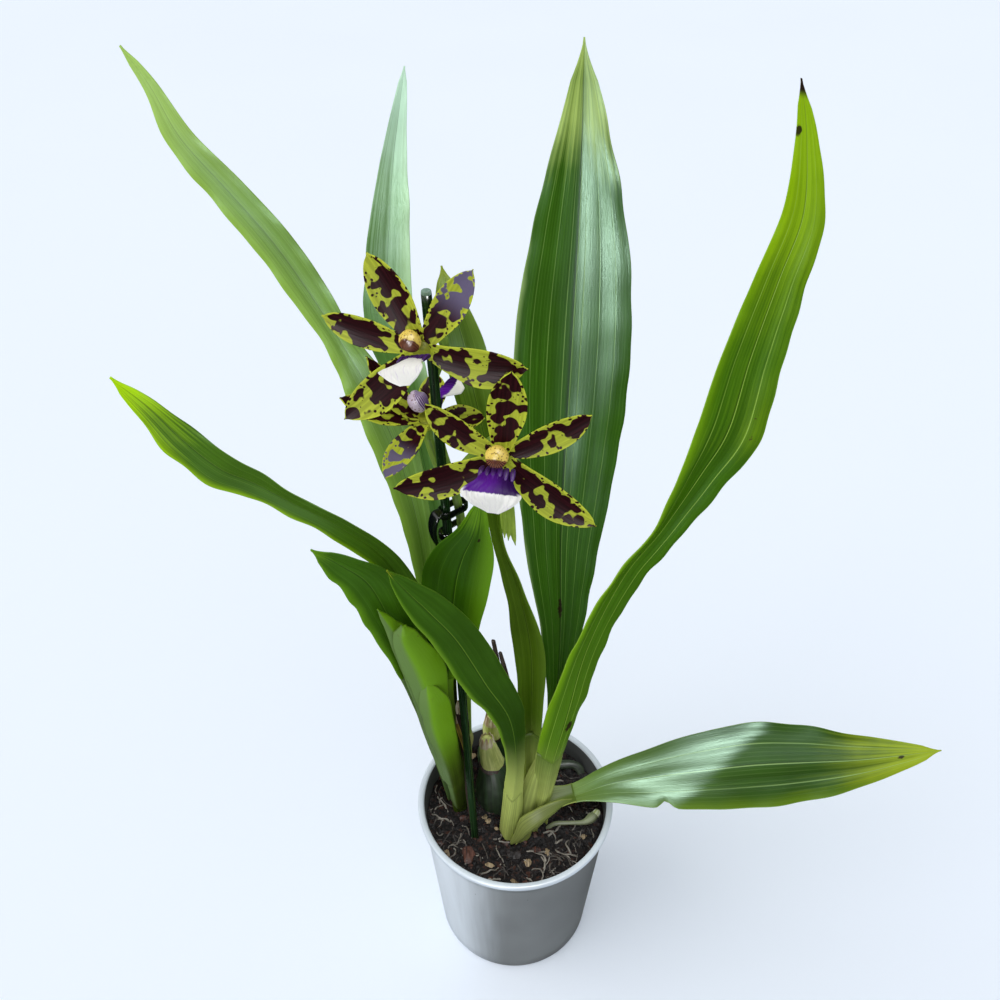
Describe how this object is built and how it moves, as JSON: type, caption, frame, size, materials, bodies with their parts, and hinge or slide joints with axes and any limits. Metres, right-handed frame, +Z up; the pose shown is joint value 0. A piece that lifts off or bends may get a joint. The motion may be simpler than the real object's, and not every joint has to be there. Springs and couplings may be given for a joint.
{
  "type": "potted orchid",
  "caption": "Flowering zygopetalum orchid in a round nursery pot: leafy shoots with strap leaves, and a spike of spotted blooms tied to a cane.",
  "frame": {"origin": "centre of the pot's foot, on the surface that the pot stands on", "axes": "+Z up, -Y towards the side that the open blooms face, +X towards the low leaf that reaches out over the rim"},
  "size_m": [0.3138, 0.1086, 0.4084],
  "materials": {
    "pot": "satin",
    "soil": "matte",
    "stake": "satin",
    "clip": "gloss",
    "leaf": "satin",
    "deep_leaf": "satin",
    "sheath": "satin",
    "spike": "satin",
    "bulb": "satin",
    "dry": "matte",
    "root": "matte",
    "tepal": "satin",
    "lip": "satin",
    "column": "satin"
  },
  "bodies": {
    "root": {"pot": "pot", "soil": "soil", "stake": "stake", "clip": "clip", "spike": "spike", "old_bulb": "bulb", "back_bulb": "bulb", "dried_stalks": "dry", "husk": "dry", "back_root": "root", "front_root": "root", "right_shoot": "sheath", "left_shoot": "sheath", "right_leaf_back": "deep_leaf", "right_leaf_centre": "leaf", "right_leaf_left": "deep_leaf", "right_leaf_tall": "leaf", "right_leaf_low": "deep_leaf", "left_leaf_tall": "leaf", "left_leaf_low": "leaf", "left_leaf_short": "deep_leaf", "left_leaf_upright": "deep_leaf", "left_leaf_back": "leaf", "top_bloom_tepals": "tepal", "top_bloom_lip": "lip", "top_bloom_column": "column", "front_bloom_tepals": "tepal", "front_bloom_lip": "lip", "front_bloom_column": "column", "rear_bloom_tepals": "tepal", "rear_bloom_lip": "lip", "rear_bloom_column": "column"}
  },
  "joints": []
}
